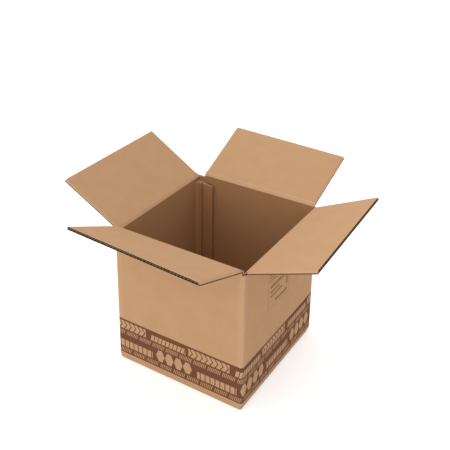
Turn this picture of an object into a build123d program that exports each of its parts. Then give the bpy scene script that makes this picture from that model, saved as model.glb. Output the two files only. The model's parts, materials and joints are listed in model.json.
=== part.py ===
"""A bottle shipping box: one folded double-wall blank whose four top flaps stand open.

Millimetres, +Z up, X along the front panel, Y from the front panel to the back one.
The origin is on the floor, under the middle of the box.
"""
from build123d import *
from math import cos, radians, sin
import os

# --- the board -----------------------------------------------------------------------------
board = 6.6  # double-wall corrugated board, B and C flute
liner = 0.4  # outer liner, which alone carries on through a top crease
upright_fold_radius = 6.2  # outer liner round an upright fold
inside_fold_radius = 0.8  # inner liner in an upright fold
bottom_fold_radius = 5.0  # outer liner round a bottom fold
layer_gap = 0.3  # air between two boards that lie on each other

# --- the box -------------------------------------------------------------------------------
width = 330.0  # outside, along X
depth = 330.0  # outside, along Y
height = 353.0  # floor to the crease of the front and back flaps

# --- the flaps, at the top and at the bottom -------------------------------------------------
flap_seam = 3.0  # gap where two facing flaps meet
corner_inset = 4.5  # side edge of a front or back flap, in from the box's corner
side_gap = 0.6  # side edge of a left or right flap to the panel beside it, when it is closed
joint_cut_back = 24.0  # side edge of the back flap at the glued corner, in from the corner

# --- the top creases -------------------------------------------------------------------------
crease_gap = 0.3  # air round the crease, so that a flap turns freely
flap_setback = 0.5  # flap's outer face behind its crease line, so that it can fold right back
front_tilt = 64.0  # each flap as it stands, outwards from upright, in degrees
back_tilt = 64.5
left_tilt = 61.5
right_tilt = 69.5

# --- the glued joint at the back left corner ---------------------------------------------------
joint_step = 2.0  # back panel's cut edge, in from the left panel's outer face
tab_width = 34.0  # glue tab, from the corner to its free edge
tab_end_drop = 0.5  # upper end of the tab under the top of the left panel's board
tab_slope = 4.0  # both ends of the tab are cut back by this much over its width

# --- worked out ----------------------------------------------------------------------------
inside_x = width / 2 - board
inside_y = depth / 2 - board
outer_reach = depth / 2 - flap_seam / 2
inner_reach = min(outer_reach, width / 2 - flap_seam / 2)
outer_half_span = width / 2 - corner_inset
inner_half_span = inside_y - side_gap
layer = board + layer_gap
floor_top = layer + board
side_crease = height - layer
board_drop = flap_setback + board + crease_gap
outer_panel_top = height - board_drop
side_panel_top = side_crease - board_drop
crease_inset = liner / 2
flap_start = crease_inset + crease_gap


def block(x, y, z):
    """A box between the low and high ends given for each axis."""
    low, high = zip(x, y, z)
    return Pos(*low) * Box(*[b - a for a, b in zip(low, high)], align=Align.MIN)


def both_sides(solid, plane):
    """A solid and its mirror image."""
    return solid + mirror(solid, plane)


def panel_section():
    """The panels seen from above: three rounded folds, and the glued joint at the back left."""
    outline = Rectangle(width, depth)
    folds = [v for v in outline.vertices() if v.X > 0 or v.Y < 0]
    outline = fillet(folds, upright_fold_radius)
    hollow = RectangleRounded(2 * inside_x, 2 * inside_y, inside_fold_radius)
    step = Pos(-width / 2, inside_y) * Rectangle(joint_step, board, align=Align.MIN)
    radius = upright_fold_radius
    fold_corner = Pos(-width / 2, inside_y - radius) * Rectangle(radius, radius, align=Align.MIN)
    fold_round = Pos(radius - width / 2, inside_y - radius) * Circle(radius)
    return outline - hollow - step - (fold_corner - fold_round)


def raised_panel():
    """The front panel above the side panels' tops, because its flap closes over theirs."""
    span = (-outer_half_span, outer_half_span)
    rise = block(span, (-depth / 2, -inside_y), (side_panel_top - board, outer_panel_top))
    return rise + crease_liner(outer_half_span, height - outer_panel_top, outer_panel_top)


def crease_liner(half_span, rise, top):
    """The front panel's outer liner between the end of the board and the crease."""
    strip = block((-half_span, half_span), (-depth / 2, liner - depth / 2), (top - board, top + rise))
    edges = strip.edges().filter_by(Axis.X).group_by(Axis.Z)[-1]
    return fillet(edges, 0.49 * liner)


def side_crease_liner():
    """The same strip on the right panel."""
    strip = block(
        (width / 2 - liner, width / 2), (-inner_half_span, inner_half_span),
        (side_panel_top - board, side_crease),
    )
    edges = strip.edges().filter_by(Axis.Y).group_by(Axis.Z)[-1]
    return fillet(edges, 0.49 * liner)


def bottom_layers():
    """The closed bottom: the side flaps lie inside, on the front and back flaps."""
    side = block((width / 2 - inner_reach, inside_x), (-inner_half_span, inner_half_span), (layer, floor_top))
    front = block((-outer_half_span, outer_half_span), (-depth / 2, outer_reach - depth / 2), (0, board))
    return both_sides(side, Plane.YZ) + both_sides(front, Plane.XZ)


def fold_rounding(length):
    """What a bottom fold takes off a sharp edge along X, with the edge on the X axis."""
    radius = bottom_fold_radius
    corner = block((-length / 2, length / 2), (-1, radius), (-1, radius))
    return corner - Pos(0, radius, radius) * Rot(0, 90, 0) * Cylinder(radius, 2 * length)


def glue_tab():
    """The tab that the left panel carries round the corner, glued flat inside the back panel."""
    high = side_panel_top - tab_end_drop
    low = floor_top + layer_gap
    left = -inside_x
    right = left + tab_width
    outline = Polyline(
        (left, low), (right, low + tab_slope), (right, high - tab_slope), (left, high), close=True
    )
    inside_face = Plane((0, inside_y, 0), x_dir=(1, 0, 0), z_dir=(0, -1, 0))
    return extrude(inside_face * make_face(outline), board)


def box_body():
    """Panels, bottom flaps and glue tab, which are one blank."""
    body = extrude(panel_section(), side_panel_top)
    under_side = block((outer_half_span, width), (-depth, depth), (-board, layer))
    body -= both_sides(under_side, Plane.YZ)
    body += bottom_layers()
    front_fold = Pos(0, -depth / 2, 0) * fold_rounding(2 * width)
    side_fold = Pos(width / 2, 0, layer) * Rot(0, 0, 90) * fold_rounding(2 * depth)
    body -= both_sides(front_fold, Plane.XZ) + both_sides(side_fold, Plane.YZ)
    body += both_sides(raised_panel(), Plane.XZ)
    body += both_sides(side_crease_liner(), Plane.YZ)
    return body + glue_tab()


def flap(span, reach, tilt, outwards, crease):
    """A top flap, tilted outwards from upright about its crease.

    span holds its two side edges, measured along the crease, reach its length from the box's
    outer face, outwards the direction that its panel faces, and crease a point on the crease.
    """
    turn = radians(tilt)
    rise = Vector(outwards) * sin(turn) + Vector(0, 0, cos(turn))
    along = Vector(outwards).cross(Vector(0, 0, 1))
    sheet = block((flap_start, reach - crease_inset), (flap_setback, flap_setback + board), span)
    return Plane(origin=crease, x_dir=rise, z_dir=along) * sheet


def front_flap():
    span = (-outer_half_span, outer_half_span)
    return flap(span, outer_reach, front_tilt, (0, -1, 0), (0, crease_inset - depth / 2, height))


def back_flap():
    span = (joint_cut_back - width / 2, outer_half_span)
    return flap(span, outer_reach, back_tilt, (0, 1, 0), (0, depth / 2 - crease_inset, height))


def left_flap():
    span = (-inner_half_span, inner_half_span)
    return flap(span, inner_reach, left_tilt, (-1, 0, 0), (crease_inset - width / 2, 0, side_crease))


def right_flap():
    span = (-inner_half_span, inner_half_span)
    return flap(span, inner_reach, right_tilt, (1, 0, 0), (width / 2 - crease_inset, 0, side_crease))


nodes = {
    "box_body": box_body,
    "front_flap": front_flap,
    "back_flap": back_flap,
    "left_flap": left_flap,
    "right_flap": right_flap,
}

os.makedirs("parts", exist_ok=True)
for name, make in nodes.items():
    export_step(make(), f"parts/{name}.step")
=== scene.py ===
"""Bottle shipping box: the folded board with its open flaps, its paper, its print and the studio."""

import json
from math import cos, pi, radians, sin

import bpy
from bpy.props import FloatProperty, FloatVectorProperty, PointerProperty
from mathutils import Matrix, Vector


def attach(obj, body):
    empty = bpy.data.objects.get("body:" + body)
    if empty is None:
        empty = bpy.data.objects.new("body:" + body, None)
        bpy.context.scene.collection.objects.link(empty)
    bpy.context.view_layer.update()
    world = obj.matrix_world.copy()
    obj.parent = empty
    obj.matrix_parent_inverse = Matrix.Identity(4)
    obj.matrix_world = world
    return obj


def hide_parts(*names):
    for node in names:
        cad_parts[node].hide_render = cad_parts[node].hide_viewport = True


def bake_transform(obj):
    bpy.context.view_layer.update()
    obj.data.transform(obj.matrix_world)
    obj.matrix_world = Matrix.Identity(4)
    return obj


bl_info = {
    "name": "Bottle Shipping Box",
    "version": (1, 0, 0),
    "blender": (4, 5, 0),
    "location": "View3D > Sidebar > Shipping Box",
    "description": "Builds a double-wall shipping box with open flaps and its studio",
    "category": "Add Mesh",
}

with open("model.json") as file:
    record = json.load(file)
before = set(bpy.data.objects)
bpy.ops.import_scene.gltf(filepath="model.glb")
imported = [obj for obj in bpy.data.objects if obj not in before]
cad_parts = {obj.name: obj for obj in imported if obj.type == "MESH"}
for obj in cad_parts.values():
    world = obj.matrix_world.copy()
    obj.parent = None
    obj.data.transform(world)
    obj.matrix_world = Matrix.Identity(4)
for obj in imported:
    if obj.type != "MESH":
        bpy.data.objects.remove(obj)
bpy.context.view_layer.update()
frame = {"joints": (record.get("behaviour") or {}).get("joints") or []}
creases = {joint["name"]: joint for joint in frame["joints"]}

UP = Vector((0, 0, 1))


def length(name, description, default):
    """A size in metres."""
    return FloatProperty(name=name, description=description, default=default, unit="LENGTH", precision=5)


def number(name, description, default):
    """A plain number."""
    return FloatProperty(name=name, description=description, default=default)


def angle(name, description, degrees):
    """An angle, given in degrees."""
    return FloatProperty(name=name, description=description, default=radians(degrees), subtype="ANGLE")


def colour(name, description, default):
    """A colour without alpha."""
    return FloatVectorProperty(
        name=name, description=description, default=default, subtype="COLOR", size=3, min=0, max=1
    )


class BoardSettings(bpy.types.PropertyGroup):
    """The double-wall board that the whole box is cut from."""

    thickness: length("Thickness", "Outer face to inner face", 0.0066)
    paper: length("Liner paper", "Thickness of the three flat papers", 0.00046)
    medium: length("Fluting paper", "Thickness of the two waved papers", 0.00048)
    fine_pitch: length("Fine flute pitch", "One wave of the inner fluting", 0.0060)
    coarse_pitch: length("Coarse flute pitch", "One wave of the outer fluting", 0.0079)
    fine_layer: length("Fine layer", "Inner face to the middle liner", 0.0028)


class BoxSettings(bpy.types.PropertyGroup):
    """The box's outside sizes and its folds."""

    width: length("Width", "Outside, along X", 0.330)
    depth: length("Depth", "Outside, along Y", 0.330)
    height: length("Height", "Floor to the crease of the front and back flaps", 0.353)
    fold_radius: length("Upright fold", "Outer radius of an upright fold", 0.0062)
    bottom_radius: length("Bottom fold", "Outer radius of a bottom fold", 0.005)
    bow: length("Panel bow", "How far a panel's middle stands out", 0.0012)
    front_left: angle("Front flap, left end", "Outwards from upright", 64.1)
    front_right: angle("Front flap, right end", "Outwards from upright", 68.8)
    back_left: angle("Back flap, left end", "Outwards from upright", 64.6)
    back_right: angle("Back flap, right end", "Outwards from upright", 69.3)
    left_back: angle("Left flap, back end", "Outwards from upright", 58.6)
    left_front: angle("Left flap, front end", "Outwards from upright", 61.4)
    right_back: angle("Right flap, back end", "Outwards from upright", 64.6)
    right_front: angle("Right flap, front end", "Outwards from upright", 69.4)


class FinishSettings(bpy.types.PropertyGroup):
    """The colours of the paper and of the print; some are lightened or darkened as painted light and shade.
    """

    kraft: colour("Kraft liner", "The flat papers", (0.570, 0.334, 0.176))
    # Painted light: lighter than the kraft so that the fold strip, which faces more sideways, looks as
    # bright as its flap.
    fold: colour("Fold", "Liner stretched over a top fold", (0.660, 0.405, 0.225))
    # Painted shade: the same kraft made darker, standing in for the shade inside the box.
    inside: colour("Inner liner", "The panels' inner face", (0.440, 0.238, 0.112))
    # Partly the waved paper's own darker tone, partly painted shade for the cut edges.
    fluting_with_shade: colour("Fluting", "The papers between the liners, at a cut edge", (0.360, 0.200, 0.098))
    # Painted shade: a near-black colour standing in for the shade deep between the liners.
    deep_flute_shade: colour("Flute hollow", "The papers deep between the liners", (0.030, 0.014, 0.007))
    # This lighter colour serves both for rubbing at edges and for the painted highlight along the upright
    # and top folds.
    worn_and_highlight: colour("Worn paper", "Rubbed folds and edges", (0.690, 0.450, 0.272))
    ink: colour("Band ink", "The printed band", (0.140, 0.042, 0.018))


class StudioSettings(bpy.types.PropertyGroup):
    """The camera, the light and the floor."""

    lens: number("Lens", "Focal length in millimetres", 59.13)
    shift: number("Shift", "Upward shift of the picture", -0.13442)
    place: FloatVectorProperty(
        name="Camera", description="Where the camera stands", default=(0.7720, -1.2189, 1.1773),
        subtype="XYZ", unit="LENGTH",
    )
    turn: angle("Turn", "Round the box from the front", 31.818)
    rise: angle("Rise", "Above the horizon", 25.702)
    roll: angle("Roll", "About the line of sight", 0.419)
    sky: number("Sky", "Strength of the even light", 1.01)
    left: number("Left", "Extra light low on the left", 0.68)
    front: number("Front", "Extra light low in front", 0.20)
    floor: colour("Floor", "The floor's colour", (0.93, 0.93, 0.93))
    glow: number("Floor glow", "What the floor adds to its own light where it is seen directly", 0.42)


# --- sheets of paper --------------------------------------------------------------------------

# The third material place is painted shade, a dark colour for faces deep between the liners; the second is
# the cut edges' colour, darkened with painted shade.
FACE, CUT, DEEP_SHADE = 0, 1, 2  # a fluted board's material places: liner, cut edges, between the liners
RIM = 0.004  # how far in from a cut edge the board is rubbed and crushed
WAVE_POINTS = 10  # points along one wave
WAVE_SETBACK = 0.0008  # side edges of the waved papers, in from the liners'
TIP_SETBACK = 0.0004  # ends of the waved papers, in from the liners'
SMOOTH_ANGLE = radians(35)


def steps(low, high, count):
    """Evenly spaced numbers from low to high."""
    return [low + (high - low) * k / count for k in range(count + 1)]


def only(piece):
    """Makes one piece the active and only selected one."""
    bpy.ops.object.select_all(action="DESELECT")
    piece.select_set(True)
    bpy.context.view_layer.objects.active = piece


def flat_sheet(stations, rows, height=0.0):
    """A flat sheet with vertices at each station across it and at each row along it."""
    bpy.ops.object.select_all(action="DESELECT")
    across, along = len(stations) - 1, len(rows) - 1
    bpy.ops.mesh.primitive_grid_add(x_subdivisions=across, y_subdivisions=along, size=2)
    sheet = bpy.context.active_object
    for vertex in sheet.data.vertices:
        u = stations[round((vertex.co.x + 1) / 2 * across)]
        v = rows[round((vertex.co.y + 1) / 2 * along)]
        vertex.co = (u, v, height)
    return sheet


def thicken(sheet, thickness, offset=0.0):
    """Gives a sheet its thickness. Offset 1 adds it above the sheet, and 0 on both sides."""
    only(sheet)
    paper = sheet.modifiers.new("paper", "SOLIDIFY")
    paper.thickness = thickness
    paper.offset = offset
    bpy.ops.object.modifier_apply(modifier=paper.name)
    return sheet


def waved_sheet(stations, rows, pitch, low, high, paper):
    """A waved paper that touches the heights low and high."""
    sheet = flat_sheet(stations, rows)
    middle, rise = (low + high) / 2, (high - low - paper) / 2
    for vertex in sheet.data.vertices:
        vertex.co.z = middle + rise * cos(2 * pi * vertex.co.x / pitch)
    return thicken(sheet, paper)


def joined(name, sheets):
    """Joins sheets into one named piece."""
    bpy.ops.object.select_all(action="DESELECT")
    for sheet in sheets:
        sheet.select_set(True)
    bpy.context.view_layer.objects.active = sheets[0]
    if len(sheets) > 1:
        bpy.ops.object.join()
    piece = sheets[0]
    piece.name = name
    piece.data.name = name
    return piece


def record_paper(piece, wear_and_highlight, board_point):
    """Stores each point's place on the flat blank, and how much it is lightened there by rubbing and by
    painted highlight.
    """
    mesh = piece.data
    if "board" not in mesh.uv_layers:
        mesh.uv_layers.new(name="board")
    for other in [item for item in mesh.uv_layers if item.name != "board"]:
        mesh.uv_layers.remove(other)
    layer = mesh.uv_layers["board"]
    for loop in mesh.loops:
        layer.data[loop.index].uv = board_point(mesh.vertices[loop.vertex_index].co)
    worn_and_highlight = mesh.attributes.new("wear_and_highlight", "FLOAT", "POINT")
    for vertex in mesh.vertices:
        worn_and_highlight.data[vertex.index].value = wear_and_highlight(vertex.co)


def fold_up(piece, place):
    """Moves every point of a flat piece to its place on the box, and mends its normals."""
    for vertex in piece.data.vertices:
        vertex.co = place(vertex.co)
    only(piece)
    bpy.ops.object.mode_set(mode="EDIT")
    bpy.ops.mesh.select_all(action="SELECT")
    bpy.ops.mesh.normals_make_consistent(inside=False)
    bpy.ops.object.mode_set(mode="OBJECT")
    bpy.ops.object.shade_smooth_by_angle(angle=SMOOTH_ANGLE)
    return piece


def near(value, line, reach):
    """1 on a line, falling to 0 at reach from it."""
    return max(0.0, 1.0 - abs(value - line) / reach)


def with_lines(values, *lines):
    """A rising list of values with more lines added to it."""
    low, high = min(values), max(values)
    return sorted(set(values) | {line for line in lines if low < line < high})


def flat_papers(stations, rows, inner_rows, liner):
    """The outer, middle and inner liners of a double-wall board."""
    board = bpy.context.scene.shipping_board
    paper = board.paper
    outer = thicken(flat_sheet(stations, rows, paper / 2), paper)
    centre = thicken(flat_sheet(stations, inner_rows, board.thickness - board.fine_layer), paper * 0.8)
    inner = thicken(flat_sheet(stations, inner_rows, board.thickness - paper / 2), paper)
    for sheet in (outer, centre, inner):
        dress(sheet, liner, fluting_with_shade(), deep_flute_shade())
        # Faces inside the board get the dark colour as painted shade, and the middle liner's cut rim gets
        # the cut-edge colour, darkened as painted shade.
        for face in sheet.data.polygons:
            in_painted_shade = 0.2 * paper < face.center.z < board.thickness - 0.2 * paper
            if in_painted_shade and abs(face.normal.z) > 0.5:
                face.material_index = DEEP_SHADE
            elif sheet == centre:
                face.material_index = CUT
    return [outer, centre, inner]


def waved_papers(left, right, rows, liner):
    """The coarse and the fine waved papers. The upper half of each wave's end is painted light in the
    liner's colour, the rest painted shade in the dark colour.
    """
    board = bpy.context.scene.shipping_board
    middle = board.thickness - board.fine_layer
    paper = board.paper
    waves = []
    for pitch, low, high in (
        (board.coarse_pitch, paper * 0.7, middle - paper * 0.1),
        (board.fine_pitch, middle + paper * 0.1, board.thickness - paper * 0.7),
    ):
        count = round((right - left) / pitch * WAVE_POINTS)
        across = steps(left + WAVE_SETBACK, right - WAVE_SETBACK, count)
        sheet = waved_sheet(across, rows, pitch, low, high, board.medium)
        dress(sheet, liner, fluting_with_shade(), deep_flute_shade())
        heights = [vertex.co.z for vertex in sheet.data.vertices]
        level = (min(heights) + max(heights)) / 2
        # Painted light on the upper half of each wave's end, painted shade below it and along the wave.
        for face in sheet.data.polygons:
            painted_lit = face.center.y > rows[-1] - TIP_SETBACK / 2 and face.center.z > level
            face.material_index = FACE if painted_lit else DEEP_SHADE
        waves.append(sheet)
    return waves


def fluted_board(
    name, span, reach, place, board_point, columns=14, root_gap=0.0, crush=0.0, top_rows=0, liner=None
):
    """A double-wall board: three flat papers, and two waved ones whose ends stay open.

    The flutes run along the reach, from its root to its tip, and heights rise from the outer
    face to the inner one. All but the outer liner start root_gap later. crush is the share by
    which the side edges are flattened, and top_rows adds rows near a tip that bends.
    """
    (left, right), (root, tip) = span, reach
    liner = liner or kraft()
    stations = with_lines(steps(left, right, columns), left + RIM, right - RIM)
    rows = with_lines(steps(root, tip, 8), root + 0.0015, root + RIM, tip - RIM)
    wave_rows = [root + root_gap, tip - TIP_SETBACK]
    if top_rows:
        extra = steps(tip - 0.036, tip - 0.001, top_rows)
        rows = with_lines(rows, *extra)
        wave_rows = with_lines(wave_rows, *extra)
    inner_rows = [root + root_gap] + [row for row in rows if row > root + root_gap + 0.0005]
    sheets = flat_papers(stations, rows, inner_rows, liner)
    sheets += waved_papers(left, right, wave_rows, liner)
    # Near the side edges the dark painted shade gives way to the lighter cut-edge colour, painted as light
    # reaching in from the side.
    for sheet in sheets:
        for face in sheet.data.polygons:
            painted_side_light = min(face.center.x - left, right - face.center.x) < 1.5 * RIM
            if painted_side_light and face.material_index == DEEP_SHADE:
                face.material_index = CUT
    piece = joined(name, sheets)

    def side_edge(point):
        return max(near(point.x, left, RIM), near(point.x, right, RIM))

    def wear_and_highlight(point):
        return max(side_edge(point), near(point.y, tip, RIM))

    def crushed(point):
        return place(Vector((point.x, point.y, point.z * (1 - crush * side_edge(point)))))

    record_paper(piece, wear_and_highlight, board_point)
    return fold_up(piece, crushed)


# --- materials --------------------------------------------------------------------------------


class Tree:
    """Adds nodes to a node tree, and links or sets their sockets."""

    def __init__(self, tree):
        self.tree = tree

    def feed(self, socket, value):
        """Links a socket, or sets its own value."""
        if isinstance(value, bpy.types.NodeSocket):
            self.tree.links.new(value, socket)
        elif value is not None:
            socket.default_value = value

    def add(self, kind, inputs=None, **settings):
        """A node with its settings and inputs."""
        node = self.tree.nodes.new(kind)
        for key, value in settings.items():
            setattr(node, key, value)
        for key, value in (inputs or {}).items():
            self.feed(node.inputs[key], value)
        return node

    def math(self, operation, *values, clamp=False):
        """A Math node's result."""
        node = self.add("ShaderNodeMath", operation=operation, use_clamp=clamp)
        for socket, value in zip(node.inputs, values):
            self.feed(socket, value)
        return node.outputs[0]

    def ramp(self, value, low, high, start=0.0, end=1.0):
        """Turns low..high into start..end, clamped."""
        node = self.add("ShaderNodeMapRange", {0: value, 1: low, 2: high, 3: start, 4: end})
        return node.outputs[0]

    def noise(self, vector, scale, detail=2.0, rough=0.5, stretch=(1, 1, 1), offset=(0, 0, 0)):
        """Noise from 0 to 1, stretched along the axes."""
        mapping = self.add("ShaderNodeMapping", {"Vector": vector, "Scale": stretch, "Location": offset})
        inputs = {"Vector": mapping.outputs[0], "Scale": scale, "Detail": detail, "Roughness": rough}
        return self.add("ShaderNodeTexNoise", inputs).outputs["Fac"]

    def mix(self, factor, one, other):
        """A colour between two colours."""
        node = self.add("ShaderNodeMix", data_type="RGBA")
        for key, value in ((0, factor), (6, one), (7, other)):
            self.feed(node.inputs[key], value)
        return node.outputs[2]

    def scaled(self, tone, factor):
        """A colour made brighter or darker."""
        node = self.add("ShaderNodeVectorMath", operation="SCALE")
        self.feed(node.inputs[0], tone)
        self.feed(node.inputs["Scale"], factor)
        return node.outputs[0]


def new_group(name, inputs, outputs):
    """A shader node group with its sockets. Returns its helper, input node and output node."""
    group = bpy.data.node_groups.new(name, "ShaderNodeTree")
    for direction, sockets in (("INPUT", inputs), ("OUTPUT", outputs)):
        for key, kind, *default in sockets:
            socket = group.interface.new_socket(name=key, in_out=direction, socket_type="NodeSocket" + kind)
            if default:
                socket.default_value = default[0]
    tree = Tree(group)
    return tree, tree.add("NodeGroupInput").outputs, tree.add("NodeGroupOutput").inputs


def kraft_grain():
    """Fibres, cloudy patches and faint flute lines of kraft liner."""
    tree, given, out = new_group(
        "Kraft grain",
        (
            ("Board", "Vector"), ("Tone", "Color"), ("Clouds", "Float", 0.08), ("Fibres", "Float", 0.10),
            ("Flutes", "Float", 0.03), ("Pitch", "Float", 0.006),
        ),
        (("Color", "Color"), ("Roughness", "Float"), ("Height", "Float")),
    )
    board = given["Board"]
    place = tree.add("ShaderNodeSeparateXYZ", {0: board}).outputs
    clouds = tree.math("SUBTRACT", tree.noise(board, 24, 4, 0.6), 0.5)
    fibres = tree.math("SUBTRACT", tree.noise(board, 260, 3, 0.6, (1, 4.5, 1)), 0.5)
    grain = tree.math("SUBTRACT", tree.noise(board, 1500, 2, 0.6, (1, 1.8, 1)), 0.5)
    flecks = tree.ramp(tree.noise(board, 420, 1, 0.5, (1, 3, 1), (3, 7, 0)), 0.70, 0.78)
    drift = tree.math("MULTIPLY", tree.noise(board, 9, 1), 0.004)
    turn = tree.math("DIVIDE", tree.math("ADD", place["X"], drift), given["Pitch"])
    lines = tree.math("COSINE", tree.math("MULTIPLY", turn, 2 * pi))
    patchy = tree.ramp(tree.noise(board, 14, 2, 0.5, (1, 0.35, 1), (5, 0, 0)), 0.35, 0.68, 0.25)
    lines = tree.math("MULTIPLY", lines, patchy)
    value = tree.math("MULTIPLY_ADD", clouds, given["Clouds"], 1.0)
    value = tree.math("MULTIPLY_ADD", fibres, given["Fibres"], value)
    value = tree.math("MULTIPLY_ADD", grain, tree.math("MULTIPLY", given["Fibres"], 0.6), value)
    value = tree.math("MULTIPLY_ADD", lines, given["Flutes"], value)
    value = tree.math("MULTIPLY_ADD", flecks, -0.10, value)
    tree.feed(out["Color"], tree.scaled(given["Tone"], value))
    tree.feed(out["Roughness"], tree.math("MULTIPLY_ADD", fibres, 0.25, 0.80))
    height = tree.math("MULTIPLY", lines, tree.math("MULTIPLY", given["Flutes"], 4.0))
    height = tree.math("MULTIPLY_ADD", fibres, 0.5, height)
    tree.feed(out["Height"], tree.math("MULTIPLY_ADD", grain, 0.35, height))
    return tree.tree


def rubbed_edges_and_highlight():
    """Paper made lighter along folds and cut edges: rubbing, and on the folds a painted highlight too."""
    tree, given, out = new_group(
        "Rubbed edges and painted highlight",
        (
            ("Board", "Vector"), ("Wear", "Float"), ("Color", "Color"), ("Worn", "Color"),
            ("Amount", "Float", 0.6),
        ),
        (("Color", "Color"), ("Mask", "Float")),
    )
    ragged = tree.math("MULTIPLY_ADD", tree.noise(given["Board"], 210, 4, 0.65), 0.9, -0.45)
    edge = tree.ramp(tree.math("ADD", given["Wear"], ragged), 0.35, 1.15)
    # Soft lightening across the whole strip: rubbing at cut edges, painted highlight on the folds.
    soft = tree.math("MULTIPLY", tree.ramp(given["Wear"], 0.05, 0.85), 0.55)
    mask = tree.math("MULTIPLY", tree.math("MAXIMUM", edge, soft), given["Amount"])
    tree.feed(out["Mask"], mask)
    tree.feed(out["Color"], tree.mix(mask, given["Color"], given["Worn"]))
    return tree.tree


def inside(tree, value, low, high):
    """1 where a value lies between low and high."""
    return tree.math("MULTIPLY", tree.math("GREATER_THAN", value, low), tree.math("LESS_THAN", value, high))


def bars(tree, across, pitch, share):
    """1 on bars that repeat at a pitch and fill a share of it."""
    cell = tree.math("FRACT", tree.math("DIVIDE", across, pitch))
    return tree.math("LESS_THAN", cell, share)


def run_of(tree, shapes, across, low, high, up, bottom, top):
    """Keeps shapes inside one stretch of a row."""
    stretch = tree.math("MULTIPLY", inside(tree, across, low, high), inside(tree, up, bottom, top))
    return tree.math("MULTIPLY", shapes, stretch)


def any_of(tree, masks):
    """1 where any of the masks is 1."""
    result = masks[0]
    for mask in masks[1:]:
        result = tree.math("MAXIMUM", result, mask)
    return result


BAND_ENDS = (0.0195, 0.1170)  # the inked band's lower and upper edge, above the floor
PRINT_REPEAT = 0.2200  # after this way round the box the two large rows repeat
SMALL_ROWS = (  # bottom, top, pitch of the strokes and start of each small row
    (0.0740, 0.0855, 0.0041, 0.0),
    (0.0232, 0.0342, 0.0045, 0.04),
)


def printed_band():
    """The band's ink: brown, with rows of plain shapes left open in it."""
    tree, given, out = new_group("Printed band", (("Board", "Vector"),), (("Ink", "Float"),))
    place = tree.add("ShaderNodeSeparateXYZ", {0: given["Board"]}).outputs
    across = tree.math("ADD", place["X"], 3 * PRINT_REPEAT)
    up = place["Y"]
    upper = tree.math("MODULO", tree.math("ADD", across, 0.130), PRINT_REPEAT)
    slanted = bars(tree, tree.math("MULTIPLY_ADD", up, -0.25, upper), 0.0102, 0.78)
    lift = tree.math("ABSOLUTE", tree.math("SUBTRACT", up, 0.1009))
    arrows = bars(tree, tree.math("MULTIPLY_ADD", lift, 0.65, upper), 0.0130, 0.76)
    lower = tree.math("MODULO", tree.math("ADD", across, 0.006), PRINT_REPEAT)
    blocks = bars(tree, lower, 0.0126, 0.80)
    shapes = [
        run_of(tree, slanted, upper, 0.003, 0.097, up, 0.0897, 0.1050),
        run_of(tree, arrows, upper, 0.105, 0.209, up, 0.0900, 0.1117),
        run_of(tree, blocks, lower, 0.003, 0.103, up, 0.0387, 0.0573),
        run_of(tree, lozenges(tree, lower, up), lower, 0.112, 0.210, up, 0.0387, 0.0700),
    ]
    for bottom, top, pitch, start in SMALL_ROWS:
        lean = tree.math("MULTIPLY_ADD", up, -0.30, tree.math("ADD", across, start))
        strokes = tree.math("MULTIPLY", bars(tree, lean, pitch, 0.42), bars(tree, lean, 0.0367, 0.86))
        shapes.append(tree.math("MULTIPLY", strokes, inside(tree, up, bottom, top)))
    band = inside(tree, up, *BAND_ENDS)
    tree.feed(out["Ink"], tree.math("SUBTRACT", band, any_of(tree, shapes), clamp=True))
    return tree.tree


def lozenges(tree, across, up):
    """1 on tall lozenges whose sides are cut straight."""
    pitch, middle, half_width, slope = 0.0245, 0.0543, 0.0117, 0.42
    cell = tree.math("FRACT", tree.math("DIVIDE", tree.math("SUBTRACT", across, 0.112), pitch))
    side = tree.math("MULTIPLY", tree.math("ABSOLUTE", tree.math("SUBTRACT", cell, 0.5)), pitch)
    rise = tree.math("ABSOLUTE", tree.math("SUBTRACT", up, middle))
    return tree.math("LESS_THAN", tree.math("MULTIPLY_ADD", rise, slope, side), half_width)


STAMP_MIDDLE = 0.495  # the right panel's middle, round the blank
STAMP_BARS = (  # left, right, bottom and top of each bar
    (0.020, 0.027, 0.224, 0.322),
    (-0.052, 0.010, 0.250, 0.258),
    (-0.052, -0.012, 0.238, 0.243),
    (-0.052, 0.002, 0.227, 0.232),
    (-0.030, 0.024, 0.207, 0.214),
)


def faint_stamp():
    """A faint stamp of plain bars in a frame, on the upper right panel."""
    tree, given, out = new_group("Faint stamp", (("Board", "Vector"),), (("Ink", "Float"),))
    place = tree.add("ShaderNodeSeparateXYZ", {0: given["Board"]}).outputs
    across = tree.math("SUBTRACT", place["X"], STAMP_MIDDLE)
    up = place["Y"]

    def block(left, right, bottom, top):
        return tree.math("MULTIPLY", inside(tree, across, left, right), inside(tree, up, bottom, top))

    inner = block(-0.060, 0.032, 0.200, 0.328)
    frame_line = tree.math("SUBTRACT", block(-0.062, 0.034, 0.198, 0.330), inner)
    hatch = bars(tree, tree.math("ADD", across, up), 0.0075, 0.42)
    shapes = [
        tree.math("MULTIPLY", frame_line, 0.55),
        run_of(tree, hatch, across, -0.056, 0.014, up, 0.266, 0.322),
    ]
    shapes += [block(*sides) for sides in STAMP_BARS]
    tree.feed(out["Ink"], any_of(tree, shapes))
    return tree.tree


def group_node(tree, name, inputs):
    """A placed node group, made on first use."""
    makers = {
        "Kraft grain": kraft_grain, "Rubbed edges and painted highlight": rubbed_edges_and_highlight, "Printed band": printed_band,
        "Faint stamp": faint_stamp,
    }
    group = bpy.data.node_groups.get(name) or makers[name]()
    node = tree.add("ShaderNodeGroup", node_tree=group)
    for key, value in inputs.items():
        tree.feed(node.inputs[key], value)
    return node.outputs


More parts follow.
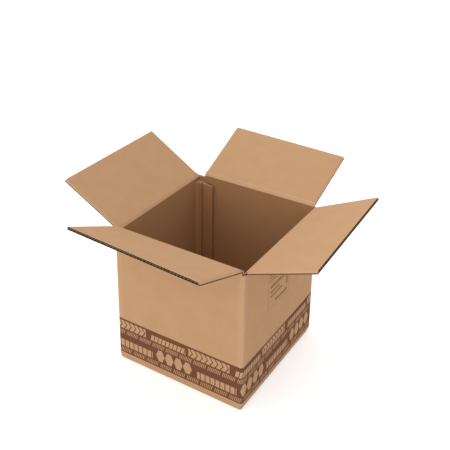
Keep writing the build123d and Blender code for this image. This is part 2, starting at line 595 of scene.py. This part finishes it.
def paper_material(name, tone, pitch, clouds, fibres, flutes, wear_and_highlight, bump, printed=False):
    """Paper of the board: grain, edges lightened by rubbing (on the folds also a painted highlight) and, on
    the outside of the panels, the print.

    clouds, fibres, flutes and the rubbing amount, which also sets the painted highlight on folds, say how
    strongly each shows, pitch is the flutes' and bump the relief's height.
    """
    found = bpy.data.materials.get(name)
    if found:
        return found
    finish = bpy.context.scene.shipping_finish
    material = bpy.data.materials.new(name)
    material.use_nodes = True
    tree = Tree(material.node_tree)
    shader = material.node_tree.nodes["Principled BSDF"]
    board = tree.add("ShaderNodeUVMap", uv_map="board").outputs[0]
    grain = group_node(
        tree, "Kraft grain",
        {
            "Board": board, "Tone": (*tone, 1), "Clouds": clouds, "Fibres": fibres, "Flutes": flutes,
            "Pitch": pitch,
        },
    )
    worn_and_highlight = tree.add("ShaderNodeAttribute", attribute_name="wear_and_highlight").outputs["Fac"]
    rubbed_and_highlit = group_node(
        tree, "Rubbed edges and painted highlight",
        {"Board": board, "Wear": worn_and_highlight, "Color": grain["Color"], "Worn": (*finish.worn_and_highlight, 1), "Amount": wear_and_highlight},
    )
    base = rubbed_and_highlit["Color"]
    if printed:
        patchy = tree.ramp(tree.noise(board, 620, 3, 0.7), 0.25, 0.62, 0.86, 1.0)
        band = group_node(tree, "Printed band", {"Board": board})["Ink"]
        stamp = group_node(tree, "Faint stamp", {"Board": board})["Ink"]
        ink = tree.math("MAXIMUM", tree.math("MULTIPLY", band, 0.97), tree.math("MULTIPLY", stamp, 0.60))
        ink = tree.math("MULTIPLY", ink, patchy)
        inked = tree.mix(0.08, (*finish.ink, 1), tree.scaled(base, 0.30))
        base = tree.mix(ink, base, inked)
    tree.feed(shader.inputs["Base Color"], base)
    roughness = tree.math("MULTIPLY_ADD", rubbed_and_highlit["Mask"], 0.12, grain["Roughness"])
    tree.feed(shader.inputs["Roughness"], roughness)
    shader.inputs["Specular IOR Level"].default_value = 0.22
    relief = tree.add("ShaderNodeBump", {"Height": grain["Height"], "Strength": 0.5, "Distance": bump})
    tree.feed(shader.inputs["Normal"], relief.outputs[0])
    return material


def kraft():
    """Plain kraft liner."""
    tone = bpy.context.scene.shipping_finish.kraft
    pitch = bpy.context.scene.shipping_board.fine_pitch
    return paper_material(
        "kraft_liner", tone, pitch, clouds=0.16, fibres=0.16, flutes=0.022, wear_and_highlight=0.55, bump=0.00025
    )


def kraft_print():
    """Kraft liner with the printed band, outside the panels."""
    tone = bpy.context.scene.shipping_finish.kraft
    pitch = bpy.context.scene.shipping_board.coarse_pitch
    return paper_material(
        "printed_kraft_liner", tone, pitch, clouds=0.16, fibres=0.16, flutes=0.014, wear_and_highlight=0.80, bump=0.0002,
        printed=True,
    )


def fluting_with_shade():
    """Papers between the liners where they reach a cut edge, rougher than the liners and darkened as
    painted shade.
    """
    tone = bpy.context.scene.shipping_finish.fluting_with_shade
    pitch = bpy.context.scene.shipping_board.fine_pitch
    return paper_material(
        "fluting_paper_with_painted_shade", tone, pitch, clouds=0.30, fibres=0.35, flutes=0.0, wear_and_highlight=0.12, bump=0.0003
    )


def deep_flute_shade():
    """Painted shade: a dark colour for the papers deep between the liners, where little light comes."""
    tone = bpy.context.scene.shipping_finish.deep_flute_shade
    pitch = bpy.context.scene.shipping_board.fine_pitch
    return paper_material(
        "painted_deep_flute_shade", tone, pitch, clouds=0.30, fibres=0.35, flutes=0.0, wear_and_highlight=0.0, bump=0.0003
    )


def inner_kraft_with_shade():
    """The liner inside the panels, with its flutes showing through, darkened as painted shade for the dim
    inside of the box.
    """
    tone = bpy.context.scene.shipping_finish.inside
    pitch = bpy.context.scene.shipping_board.fine_pitch
    return paper_material(
        "inner_liner_with_painted_shade", tone, pitch, clouds=0.14, fibres=0.16, flutes=0.075, wear_and_highlight=0.25, bump=0.0003
    )


def fold_paper_painted_light():
    """Liner stretched over a fold, made lighter as painted light so the strip looks as bright as its flap.
    """
    tone = bpy.context.scene.shipping_finish.fold
    pitch = bpy.context.scene.shipping_board.fine_pitch
    return paper_material(
        "folded_liner_painted_light", tone, pitch, clouds=0.20, fibres=0.20, flutes=0.03, wear_and_highlight=0.40, bump=0.0003
    )


def dress(piece, *materials):
    """Fills a piece's material places in order."""
    piece.data.materials.clear()
    for material in materials:
        piece.data.materials.append(material)


# --- the box's panels -------------------------------------------------------------------------

RAISED_HALF = 0.1605  # half the width of the front and back flaps and of their panels' raised tops
SIDE_HALF = 0.1578  # half the width of the left and right flaps
CUT_BACK = 0.141  # where the back flap ends, near the glued corner
CREASE_INSET = 0.0002  # crease line, in from the outer face
FLAP_SETBACK = 0.0005  # a flap's outer face, behind its crease line
BOARD_DROP = 0.0074  # the top of a panel's board, under its crease line
LAYER = 0.0069  # one board and the air over it
LEAN_LEFT = 0.0050  # how far the left wall leans out at the bottom
LEAN_RIGHT = 0.0020  # the right wall
LEAN_FRONT = 0.0040  # the front wall
LEAN_FROM = 0.34  # height under which the walls lean out
INNER_RADIUS = 0.0008  # the inner liner's radius in an upright fold
INNER_FOLD = 0.0074  # where the inner liner starts to bend, from the corner
JOINT_STEP = 0.002  # back panel's cut edge, in from the left panel's outer face
HALF_SEAM = 0.0015  # half the gap where two facing flaps meet
OVERHANG = 0.0035  # how far the stretched liner reaches onto a flap
ON_PANEL = 0.3  # share of a fold's strip that lies along its panel
TAB_LOW = 0.0138  # lower end of the glued tab
TAB_TOP = 0.3355  # its upper end
TAB_WIDTH = 0.044  # from the left panel's inner face to the tab's free edge
TAB_SLOPE = 0.004  # both its ends are cut back by this much over its width
TAB_BEND = 0.010  # inner radius where it leaves the left panel
TAB_PRESSED = 0.0045  # how much of its upper end is pressed flat


def panel_of(station):
    """The panel that a station of the blank lies on, and the place across it from its middle.

    Stations run round the blank in metres: the left panel below 0, then the front, right and
    back ones.
    """
    width = bpy.context.scene.shipping_box.width
    turn = max(-1, min(2, int(station // width)))
    return turn, station - (turn + 0.5) * width


def is_raised(turn, across):
    """True where a panel carries a front or back flap, whose creases lie one board higher."""
    return turn in (0, 2) and abs(across) < RAISED_HALF


def panel_point(station, depth, height, undercut=0.0):
    """A point of the panels: depth is from the outer face inwards, undercut from a bottom fold."""
    box = bpy.context.scene.shipping_box
    board = bpy.context.scene.shipping_board
    turn, across = panel_of(station)
    half = box.width / 2
    side = 1 if across > 0 else -1
    glued = (turn == -1 and side < 0) or (turn == 2 and side > 0)
    points = []
    liners = ((box.fold_radius, 0.0, box.fold_radius), (INNER_RADIUS, board.thickness, INNER_FOLD))
    for radius, inset, fold in liners:
        x, y = across, inset - half
        if not glued and abs(across) > half - fold:
            turned = (abs(across) - half + fold) / fold * pi / 4
            x = side * (half - inset - radius + radius * sin(turned))
            y = -(half - inset - radius + radius * cos(turned))
        elif turn == -1 and side < 0 and inset == 0.0:
            over = abs(across) - (half - board.thickness - radius)
            if over > 0:
                y += radius - max(radius * radius - over * over, 0.0) ** 0.5
        points.append(Vector((x, y, 0)))
    outer, inner = points
    share = depth / board.thickness
    point = outer.lerp(inner, share)
    point.y += undercut * (1 - share)
    swell = cos(pi * across / box.width) * sin(pi * min(max(height / 0.33, 0.0), 1.0))
    point.y -= box.bow * swell * (0.6 if turn in (1, 2) else 1.0)
    point.z = height
    return Matrix.Rotation(turn * pi / 2, 3, "Z") @ point


def panel_ends(station):
    """The lower and upper end of the board at a station."""
    box = bpy.context.scene.shipping_box
    turn, across = panel_of(station)
    if is_raised(turn, across):
        return 0.0, box.height - BOARD_DROP
    if abs(across) > (RAISED_HALF if turn in (0, 2) else SIDE_HALF):
        return LAYER, box.height - LAYER
    return LAYER, box.height - LAYER - BOARD_DROP


def spread(piece):
    """Lets the walls lean out a little towards the bottom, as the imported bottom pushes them."""
    half = bpy.context.scene.shipping_box.width / 2
    for vertex in piece.data.vertices:
        low = max(1 - vertex.co.z / LEAN_FROM, 0.0)
        right = (vertex.co.x / half + 1) / 2
        back = (vertex.co.y / half + 1) / 2
        vertex.co.x += low * (right * LEAN_RIGHT - (1 - right) * LEAN_LEFT)
        vertex.co.y -= low * (1 - back) * LEAN_FRONT


def finish_piece(piece, body, slot, *nodes):
    """Fixes a piece to its body and hides the nodes that it stands for. The slot is not used."""
    if body == "box":
        spread(piece)
    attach(piece, body)
    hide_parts(*nodes)


class SHIPPINGBOX_OT_panels(bpy.types.Operator):
    """Fold the four panels up from the blank, with rounded folds and the glued joint open at the back"""

    bl_idname = "shipping_box.panels"
    bl_label = "Panels"

    def execute(self, context):
        box = context.scene.shipping_box
        board = context.scene.shipping_board
        width, fold, bottom = box.width, box.fold_radius, box.bottom_radius
        joint_fold, cut_edge = -width + board.thickness, 3 * width - JOINT_STEP
        stations = {joint_fold, cut_edge}
        for line in (0.0, width, 2 * width):
            for k in range(-6, 7):
                stations.add(line + fold * k / 6)
            stations |= {line - INNER_FOLD, line + INNER_FOLD}
        for turn in range(-1, 3):
            middle = (turn + 0.5) * width
            stations |= {middle + (width / 2 - 0.02) * k / 6 for k in range(-6, 7)}
            end = RAISED_HALF if turn in (0, 2) else SIDE_HALF
            for side in (-1, 1):
                stations |= {middle + side * (end + 0.0001), middle + side * (end - 0.0001)}
        stations |= {joint_fold + fold * k / 6 for k in range(1, 7)}
        stations = sorted(s for s in stations if joint_fold <= s <= cut_edge)
        stations = [s for k, s in enumerate(stations) if k == 0 or s - stations[k - 1] > 1e-5]
        bends = [bottom * (1 - cos(pi / 2 * k / 6)) for k in range(7)]
        rows = bends + [bottom + k / 14 for k in range(1, 15)]
        sheet = thicken(flat_sheet(stations, rows), board.thickness, 1.0)
        dress(sheet, kraft_print(), inner_kraft_with_shade())
        for face in sheet.data.polygons:
            face.material_index = 0 if face.center.z < 1e-5 else 1

        def level(point):
            low, high = panel_ends(point.x)
            if point.y <= bottom + 1e-6:
                return low + point.y
            return low + bottom + (point.y - bottom) * (high - low - bottom)

        def undercut(point):
            if point.y > bottom - 1e-6:
                return 0.0
            return bottom - (bottom * bottom - (bottom - point.y) ** 2) ** 0.5

        def wear_and_highlight(point):
            # Painted highlight: the wide, strong strip at the upright folds stands for the light on the
            # rounded fold, along with some rubbing.
            folds = max(near(point.x, line, 0.015) for line in (0.0, width, 2 * width))
            ends = max(near(point.x, cut_edge, 0.004), near(point.y, 0.0, 0.006))
            return max(folds * 0.9, ends)

        record_paper(sheet, wear_and_highlight, lambda point: (point.x, level(point)))
        fold_up(sheet, lambda point: panel_point(point.x, point.z, level(point), undercut(point)))
        panels = joined("panels", [sheet] + [self.lip(turn) for turn in range(-1, 3)])
        finish_piece(panels, "box", "printed_kraft_board", "box_body")
        return {"FINISHED"}

    def lip(self, turn):
        """The outer liner between the end of a panel's board and its crease."""
        box = bpy.context.scene.shipping_box
        board = bpy.context.scene.shipping_board
        middle = (turn + 0.5) * box.width
        raised = turn in (0, 2)
        half = RAISED_HALF if raised else SIDE_HALF
        end = CUT_BACK if turn == 2 else half
        crease = box.height if raised else box.height - LAYER
        rows = [crease - BOARD_DROP - 0.002, crease - 0.004, crease - 0.0006, crease - 0.0002]
        strip = thicken(flat_sheet(steps(middle - half, middle + end, 12), rows), board.paper, 1.0)
        dress(strip, kraft_print())
        record_paper(strip, lambda point: near(point.y, crease, 0.006), lambda point: (point.x, point.y))
        return fold_up(strip, lambda point: panel_point(point.x, point.z, point.y))


# --- the flaps ----------------------------------------------------------------------------------


class Crease:
    """One top crease: its line, its flap's tilt at both ends, and where it lies on the blank."""

    def __init__(self, name, outwards, span, tilts, reach):
        joint = creases[name + "_crease"]
        self.body = joint["child"]
        self.line = Vector(joint["pos_m"])
        self.outwards = Vector(outwards)
        self.along = Vector((abs(outwards[1]), abs(outwards[0]), 0))
        self.span = span
        self.tilts = tilts
        self.reach = reach
        width = bpy.context.scene.shipping_box.width
        turn = {"left": -1, "front": 0, "right": 1, "back": 2}[name]
        self.middle = (turn + 0.5) * width
        self.facing = -1 if name in ("left", "back") else 1

    def tilt(self, across):
        """The flap's tilt at a place along the crease."""
        low, high = self.tilts
        return low + (high - low) * (across - self.span[0]) / (self.span[1] - self.span[0])

    def mean(self):
        """The tilt at the middle of the crease."""
        return sum(self.tilts) / 2

    def flap_point(self, across, up, height):
        """A point of the flap: up from the crease, and in from the crease's plane by height."""
        tilt = self.tilt(across)
        rise = self.outwards * sin(tilt) + UP * cos(tilt)
        inwards = UP * sin(tilt) - self.outwards * cos(tilt)
        return self.line + self.along * across + rise * up + inwards * height

    def station(self, across, up):
        """The same point on the flat blank."""
        return self.middle + self.facing * across, self.line.z + up


def top_creases():
    """The four top creases."""
    box = bpy.context.scene.shipping_box
    reach = box.depth / 2 - HALF_SEAM - CREASE_INSET
    return [
        Crease("front", (0, -1, 0), (-RAISED_HALF, RAISED_HALF), (box.front_left, box.front_right), reach),
        Crease("back", (0, 1, 0), (-CUT_BACK, RAISED_HALF), (box.back_left, box.back_right), reach),
        Crease("left", (-1, 0, 0), (-SIDE_HALF, SIDE_HALF), (box.left_front, box.left_back), reach),
        Crease("right", (1, 0, 0), (-SIDE_HALF, SIDE_HALF), (box.right_front, box.right_back), reach),
    ]


class SHIPPINGBOX_OT_flaps(bpy.types.Operator):
    """Build the four top flaps as double-wall boards whose flutes show at the cut edges"""

    bl_idname = "shipping_box.flaps"
    bl_label = "Top flaps"

    def execute(self, context):
        paper = context.scene.shipping_board.paper
        for crease in top_creases():

            def place(point, crease=crease):
                height = FLAP_SETBACK + point.z
                if point.z < 1.2 * paper and point.y < 0.003:
                    height *= 0.25 + 0.75 * max(point.y, 0.0) / 0.003
                return crease.flap_point(point.x, point.y, height)

            flap = fluted_board(
                crease.body + "_top_flap", crease.span, (0.0001, crease.reach), place,
                lambda point, crease=crease: crease.station(point.x, point.y), root_gap=OVERHANG, crush=0.5,
            )
            finish_piece(flap, crease.body, "kraft_board", crease.body + "_flap")
        return {"FINISHED"}


class SHIPPINGBOX_OT_folds(bpy.types.Operator):
    """Build the crushed board at the four top creases, where the inner liner is stretched round"""

    bl_idname = "shipping_box.folds"
    bl_label = "Top folds"

    def execute(self, context):
        thickness = context.scene.shipping_board.thickness
        for crease in top_creases():
            inset = thickness - CREASE_INSET
            stations = with_lines(steps(*crease.span, 14), crease.span[0] + 0.003, crease.span[1] - 0.003)
            rows = [0.0, 0.15, 0.29, ON_PANEL, 0.31] + steps(0.36, 1.0, 9)
            strip = thicken(flat_sheet(stations, rows), 1.0, 1.0)

            def place(point, crease=crease, inset=inset):
                foot = crease.line + crease.along * point.x - crease.outwards * inset - UP * BOARD_DROP
                head = crease.flap_point(point.x, OVERHANG, FLAP_SETBACK + thickness)
                rise = crease.flap_point(point.x, 1.0, 0.0) - crease.flap_point(point.x, 0.0, 0.0)
                back = (head - foot).dot(crease.outwards) / rise.dot(crease.outwards)
                peak = head - rise * back
                bend = foot.lerp(peak, 0.52)
                if point.y < ON_PANEL:
                    curve = foot.lerp(bend, point.y / ON_PANEL)
                else:
                    on = (point.y - ON_PANEL) / (1 - ON_PANEL)
                    last = head.lerp(peak, 0.35)
                    curve = bend * (1 - on) ** 2 + last * 2 * on * (1 - on) + head * on * on
                core = crease.line + crease.along * point.x
                return curve.lerp(core, 0.4 * point.z)

            def wear_and_highlight(point, crease=crease):
                # Painted light: the strip's flap side is lightened across its width so it looks as bright
                # as the flap; its two ends are rubbing.
                ends = max(near(point.x, crease.span[0], 0.003), near(point.x, crease.span[1], 0.003))
                return max(ends, near(point.y, 0.45, 0.42) if point.y > 0.295 else 0.0)

            dress(strip, fold_paper_painted_light(), inner_kraft_with_shade())
            # Painted light on the strip's flap side in the lightened fold colour; painted shade on its
            # panel side in the darkened inner liner.
            for face in strip.data.polygons:
                face.material_index = 1 if face.center.y < ON_PANEL else 0
            record_paper(
                strip, wear_and_highlight,
                lambda point, crease=crease: crease.station(point.x, 0.018 * point.y - BOARD_DROP),
            )
            fold_up(strip, place)
            fold = joined(crease.body + "_top_fold", [strip])
            half = crease.mean() / 2
            towards = crease.outwards * sin(half) + UP * cos(half)
            low = inset * sin(half) + BOARD_DROP * cos(half)
            high = OVERHANG * cos(half) + (FLAP_SETBACK + thickness) * sin(half)
            start, end = crease.line - towards * low, crease.line + towards * (high - 0.0001)
            tuple(start)
            tuple(end)
            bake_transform(fold)
            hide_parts(crease.body + "_flap")
        return {"FINISHED"}


class SHIPPINGBOX_OT_bottom(bpy.types.Operator):
    """Build the closed bottom: the side flaps lie on the front and back ones"""

    bl_idname = "shipping_box.bottom"
    bl_label = "Bottom flaps"

    def execute(self, context):
        box = context.scene.shipping_box
        board = context.scene.shipping_board
        half = box.width / 2
        reach = (board.thickness + 0.0001, half - HALF_SEAM)
        for name, turn, span, lift in (
            ("front", 0, RAISED_HALF, 0.0), ("right", 1, SIDE_HALF, LAYER),
            ("back", 2, RAISED_HALF, 0.0), ("left", 3, SIDE_HALF, LAYER),
        ):
            round_box = Matrix.Rotation(turn * pi / 2, 3, "Z")
            flap = fluted_board(
                name + "_bottom_flap", (-span, span), reach,
                lambda p, m=round_box, z=lift: m @ Vector((p.x, p.y - half, p.z + z)),
                lambda p, turn=turn: ((turn + 0.5) * box.width + p.x, -p.y),
            )
            finish_piece(flap, "box", "kraft_board", "box_body")
        return {"FINISHED"}


class SHIPPINGBOX_OT_joint(bpy.types.Operator):
    """Build the tab that the left panel carries, glued inside the back panel"""

    bl_idname = "shipping_box.joint"
    bl_label = "Glued tab"

    def execute(self, context):
        box = context.scene.shipping_box
        inner = box.width / 2 - context.scene.shipping_board.thickness
        middle = (TAB_LOW + TAB_TOP) / 2

        def place(point):
            squeeze = 1 - TAB_SLOPE / (middle - TAB_LOW) * point.x / TAB_WIDTH
            height = middle + (point.y - middle) * squeeze
            pressed = min(max((height - TAB_TOP + TAB_PRESSED) / TAB_PRESSED, 0.0), 1.0)
            over = max(TAB_BEND - point.x, 0.0)
            rounded = point.z + TAB_BEND - (TAB_BEND * TAB_BEND - over * over) ** 0.5
            creased = rounded - 0.55 * point.z * near(point.x, TAB_BEND + 0.002, 0.0025)
            depth = creased * (1 - 0.93 * pressed * pressed * (3 - 2 * pressed))
            return Vector((point.x - inner, inner - 0.0001 - depth, height))

        tab = fluted_board(
            "glued_tab", (0.0, TAB_WIDTH), (TAB_LOW, TAB_TOP), place,
            lambda point: (-box.width - point.x, point.y), columns=44, top_rows=8, liner=inner_kraft_with_shade(),
        )
        finish_piece(tab, "box", "kraft_board", "box_body")
        return {"FINISHED"}


# --- the studio ---------------------------------------------------------------------------------


def seen_directly(tree):
    """1 for rays from the camera, and for those seen in gloss or through glass."""
    path = tree.add("ShaderNodeLightPath").outputs
    direct = tree.math("ADD", path["Is Camera Ray"], path["Is Glossy Ray"])
    return tree.math("ADD", direct, path["Is Transmission Ray"], clamp=True)


class SHIPPINGBOX_OT_studio(bpy.types.Operator):
    """Set up the pale floor, the soft light and the camera"""

    bl_idname = "shipping_box.studio"
    bl_label = "Studio"

    def execute(self, context):
        scene = context.scene
        studio = scene.shipping_studio
        scene.view_settings.view_transform = "Standard"
        self.sky(scene, studio)
        self.floor(studio)
        self.camera(scene, studio)
        return {"FINISHED"}

    def sky(self, scene, studio):
        """A soft sky that looks white, brighter low on the left and in front."""
        scene.world = bpy.data.worlds.new("Studio")
        scene.world.use_nodes = True
        tree = Tree(scene.world.node_tree)
        light = scene.world.node_tree.nodes["Background"]
        light.inputs["Color"].default_value = (1, 1, 1, 1)
        direction = tree.add("ShaderNodeTexCoord").outputs["Generated"]
        towards = tree.add("ShaderNodeSeparateXYZ", {0: direction}).outputs
        left = tree.math("MULTIPLY", towards["X"], -studio.left)
        side = tree.math("MULTIPLY_ADD", towards["Y"], -studio.front, left)
        low = tree.math("SUBTRACT", 1.0, towards["Z"])
        shade = tree.math("MULTIPLY_ADD", side, low, 1.0)
        even = tree.math("MULTIPLY", shade, studio.sky)
        direct = seen_directly(tree)
        level = tree.math("MULTIPLY_ADD", tree.math("SUBTRACT", 1.0, even), direct, even)
        tree.feed(light.inputs["Strength"], level)

    def floor(self, studio):
        """A wide pale floor that keeps the box's shadow."""
        bpy.ops.object.select_all(action="DESELECT")
        bpy.ops.mesh.primitive_plane_add(size=30, location=(0, 0, 0))
        floor = bpy.context.active_object
        floor.name = "studio_floor"
        material = bpy.data.materials.new("studio_floor")
        material.use_nodes = True
        tree = Tree(material.node_tree)
        shader = material.node_tree.nodes["Principled BSDF"]
        shader.inputs["Base Color"].default_value = (*studio.floor, 1)
        shader.inputs["Roughness"].default_value = 0.9
        shader.inputs["Specular IOR Level"].default_value = 0.1
        shader.inputs["Emission Color"].default_value = (1, 1, 1, 1)
        glow = tree.math("MULTIPLY", seen_directly(tree), studio.glow)
        tree.feed(shader.inputs["Emission Strength"], glow)
        dress(floor, material)

    def camera(self, scene, studio):
        """The camera, level with the view that shows the flaps and the inside."""
        lens = bpy.data.cameras.new("camera")
        lens.lens = studio.lens
        lens.sensor_width = 36
        lens.shift_y = studio.shift
        camera = bpy.data.objects.new("camera", lens)
        scene.collection.objects.link(camera)
        back = Vector(
            (sin(studio.turn) * cos(studio.rise), -cos(studio.turn) * cos(studio.rise), sin(studio.rise))
        )
        right = UP.cross(back).normalized()
        over = back.cross(right)
        rolled = right * cos(studio.roll) + over * sin(studio.roll)
        over = over * cos(studio.roll) - right * sin(studio.roll)
        pose = Matrix((rolled, over, back)).transposed().to_4x4()
        pose.translation = studio.place
        camera.matrix_world = pose
        scene.camera = camera


# --- the add-on ---------------------------------------------------------------------------------

STEPS = (
    SHIPPINGBOX_OT_studio, SHIPPINGBOX_OT_panels, SHIPPINGBOX_OT_bottom, SHIPPINGBOX_OT_joint,
    SHIPPINGBOX_OT_folds, SHIPPINGBOX_OT_flaps,
)


class SHIPPINGBOX_PT_sidebar(bpy.types.Panel):
    """Lists the box's pieces and the studio"""

    bl_idname = "SHIPPINGBOX_PT_sidebar"
    bl_label = "Shipping Box"
    bl_space_type = "VIEW_3D"
    bl_region_type = "UI"
    bl_category = "Shipping Box"

    def draw(self, context):
        for step in STEPS:
            self.layout.operator(step.bl_idname)


SETTINGS = {
    "shipping_board": BoardSettings,
    "shipping_box": BoxSettings,
    "shipping_finish": FinishSettings,
    "shipping_studio": StudioSettings,
}


def register():
    for settings in SETTINGS.values():
        bpy.utils.register_class(settings)
    for step in STEPS:
        bpy.utils.register_class(step)
    bpy.utils.register_class(SHIPPINGBOX_PT_sidebar)
    for name, settings in SETTINGS.items():
        setattr(bpy.types.Scene, name, PointerProperty(type=settings))


def unregister():
    for name in SETTINGS:
        delattr(bpy.types.Scene, name)
    bpy.utils.unregister_class(SHIPPINGBOX_PT_sidebar)
    for step in reversed(STEPS):
        bpy.utils.unregister_class(step)
    for settings in reversed(list(SETTINGS.values())):
        bpy.utils.unregister_class(settings)


def main():
    """Builds everything in order."""
    register()
    for step in STEPS:
        name = step.bl_idname.split(".")[1]
        getattr(bpy.ops.shipping_box, name)()


if __name__ == "__main__":
    main()
